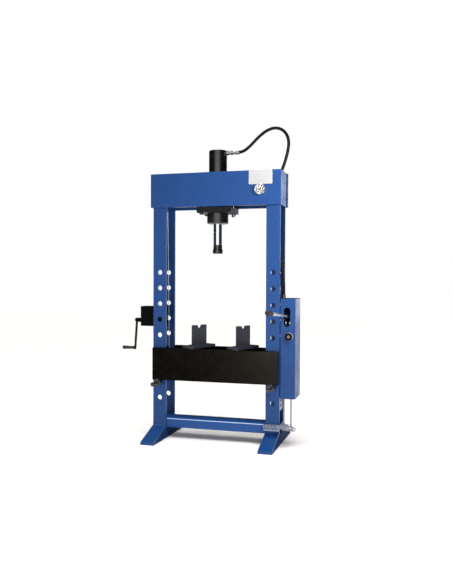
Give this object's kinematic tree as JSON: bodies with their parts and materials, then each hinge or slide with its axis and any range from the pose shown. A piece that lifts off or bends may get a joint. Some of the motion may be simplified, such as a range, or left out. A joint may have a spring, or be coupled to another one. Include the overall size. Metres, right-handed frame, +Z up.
{
  "type": "hydraulic press",
  "caption": "H-frame workshop press with a sliding cylinder in the head, spring-return ram, pinned lifting table with V-blocks, cable winch, and a hand pump box with lever and pedal",
  "frame": {"origin": "on the floor, midway between the two columns and midway through the depth of the frame", "axes": "+Z up, +Y to the rear of the press, +X to the right as seen from the front"},
  "size_m": [1.2283, 0.7519, 2.0608],
  "materials": {
    "frame_blue": "gloss powder coat",
    "beam_black": "satin paint",
    "block_grey": "satin paint",
    "cylinder_black": "gloss paint",
    "chrome": "polished",
    "steel": "machined",
    "grey_metal": "satin",
    "rope": "stranded",
    "hose_rubber": "satin",
    "grip_plastic": "fine texture",
    "knob_plastic": "moulded, black",
    "label": "plain",
    "dial": "printed scale",
    "pane": "clear",
    "needle": "plain"
  },
  "bodies": {
    "frame": {"upright_front_left": "frame_blue", "upright_front_right": "frame_blue", "upright_rear_left": "frame_blue", "upright_rear_right": "frame_blue", "foot_side_plates": "frame_blue", "lower_cross_member": "frame_blue", "head_front_plate": "frame_blue", "head_rear_plate": "frame_blue", "head_end_plates": "frame_blue", "carriage_rails": "steel", "label_plate": "label", "gauge_case": "chrome", "gauge_dial": "dial", "gauge_lens": "pane", "rope_cross_pins": "steel", "winch_housing": "cylinder_black", "lift_rope_head": "rope", "lift_rope_runs": "rope", "hose": "hose_rubber", "pump_box": "frame_blue", "pump_lid": "frame_blue", "hose_fitting": "cylinder_black", "pump_block": "cylinder_black", "oil_tank": "steel", "pump_bracket": "grey_metal", "hanger_rod": "steel"},
    "carriage": {"bearing_plate": "cylinder_black", "slide_plate": "cylinder_black", "carriage_bolts": "cylinder_black", "cylinder_barrel": "cylinder_black", "cylinder_port_fitting": "steel", "gland_housing": "cylinder_black", "carriage_clamp_block": "cylinder_black", "return_spring": "steel"},
    "ram": {"piston": "steel", "piston_rod": "chrome", "ram_nose": "cylinder_black"},
    "clamp_screw": {"clamp_screw": "cylinder_black"},
    "table": {"table_beam_front": "beam_black", "table_beam_rear": "beam_black", "table_cross_bars": "steel", "v_block_left": "block_grey", "v_block_right": "block_grey", "lift_rope_table": "rope"},
    "winch_drum": {"winch_drum": "steel"},
    "winch_crank": {"winch_crank": "cylinder_black"},
    "crank_grip": {"crank_grip": "grip_plastic"},
    "head_sheave": {"head_sheave": "steel"},
    "table_pulley_left": {"table_pulley_left": "steel"},
    "table_pulley_right": {"table_pulley_right": "steel"},
    "table_pin_left": {"table_pin_left": "cylinder_black"},
    "table_pin_right": {"table_pin_right": "cylinder_black"},
    "hand_lever": {"lever_socket": "block_grey", "hand_lever": "chrome", "lever_grip": "grip_plastic"},
    "pump_plunger": {"pump_plunger": "chrome"},
    "release_knob": {"release_knob": "grey_metal"},
    "pedal": {"pedal": "grey_metal"},
    "link_rod": {"link_rod": "steel"},
    "gauge_needle": {"gauge_needle": "needle"}
  },
  "joints": [
    {"name": "carriage_slide", "type": "slide", "parent": "frame", "child": "carriage", "axis": [1, 0, 0], "range_m": [-0.19, 0.17], "deforming": ["hose"]},
    {"name": "ram_slide", "type": "slide", "parent": "carriage", "child": "ram", "axis": [0, 0, 1], "range_m": [-0.2, 0], "stiffness_N_per_m": 2000, "springref_m": 0.3, "deforming": ["return_spring"]},
    {"name": "clamp_turn", "type": "hinge", "parent": "carriage", "child": "clamp_screw", "pos_m": [0.126, -0.1, 1.5], "axis": [0, 0, 1], "range_deg": [0, 360]},
    {"name": "table_lift", "type": "slide", "parent": "frame", "child": "table", "axis": [0, 0, 1], "range_m": [0, 0.42], "deforming": ["lift_rope_runs"]},
    {"name": "drum_turn", "type": "hinge", "parent": "frame", "child": "winch_drum", "pos_m": [-0.43, -0.016, 0.81725], "axis": [1, 0, 0], "continuous": true},
    {"name": "crank_turn", "type": "hinge", "parent": "frame", "child": "winch_crank", "pos_m": [-0.57, 0, 0.785], "axis": [1, 0, 0], "continuous": true},
    {"name": "grip_turn", "type": "hinge", "parent": "winch_crank", "child": "crank_grip", "pos_m": [-0.65, 0, 0.592], "axis": [1, 0, 0], "continuous": true},
    {"name": "sheave_turn", "type": "hinge", "parent": "frame", "child": "head_sheave", "pos_m": [-0.396, 0, 1.6], "axis": [0, 1, 0], "continuous": true},
    {"name": "pulley_left_turn", "type": "hinge", "parent": "table", "child": "table_pulley_left", "pos_m": [-0.317, 0, 0.54], "axis": [0, 1, 0], "continuous": true},
    {"name": "pulley_right_turn", "type": "hinge", "parent": "table", "child": "table_pulley_right", "pos_m": [0.317, 0, 0.54], "axis": [0, 1, 0], "continuous": true},
    {"name": "pin_left_slide", "type": "slide", "parent": "frame", "child": "table_pin_left", "axis": [0, -1, 0], "range_m": [0, 0.25]},
    {"name": "pin_right_slide", "type": "slide", "parent": "frame", "child": "table_pin_right", "axis": [0, -1, 0], "range_m": [0, 0.25]},
    {"name": "lever_swing", "type": "hinge", "parent": "frame", "child": "hand_lever", "pos_m": [0.4773, -0.03, 0.829], "axis": [1, 0, 0], "range_deg": [-30, 36]},
    {"name": "plunger_slide", "type": "slide", "parent": "frame", "child": "pump_plunger", "axis": [0, 0, 1], "range_m": [-0.0148, 0.0177]},
    {"name": "release_turn", "type": "hinge", "parent": "frame", "child": "release_knob", "pos_m": [0.494, -0.1, 0.7048], "axis": [0, 1, 0], "range_deg": [0, 180]},
    {"name": "pedal_swing", "type": "hinge", "parent": "frame", "child": "pedal", "pos_m": [0.501, -0.059, 0.117], "axis": [0, -1, 0], "range_deg": [0, 9], "stiffness_Nm_per_rad": 20, "springref_deg": -9.74},
    {"name": "link_slide", "type": "slide", "parent": "frame", "child": "link_rod", "axis": [0, 0, -1], "range_m": [0, 0.0073]},
    {"name": "needle_swing", "type": "hinge", "parent": "frame", "child": "gauge_needle", "pos_m": [0.3095, -0.135, 1.6404], "axis": [0, 1, 0], "range_deg": [0, 270]}
  ],
  "couplings": [
    {"joint": "drum_turn", "follows": "table_lift", "rad_per_m": -125},
    {"joint": "crank_turn", "follows": "table_lift", "rad_per_m": 375},
    {"joint": "sheave_turn", "follows": "table_lift", "rad_per_m": -66.667},
    {"joint": "pulley_left_turn", "follows": "table_lift", "rad_per_m": 29.412},
    {"joint": "pulley_right_turn", "follows": "table_lift", "rad_per_m": 29.412},
    {"joint": "plunger_slide", "follows": "lever_swing", "m_per_rad": 0.028},
    {"joint": "link_slide", "follows": "pedal_swing", "m_per_rad": 0.046}
  ]
}
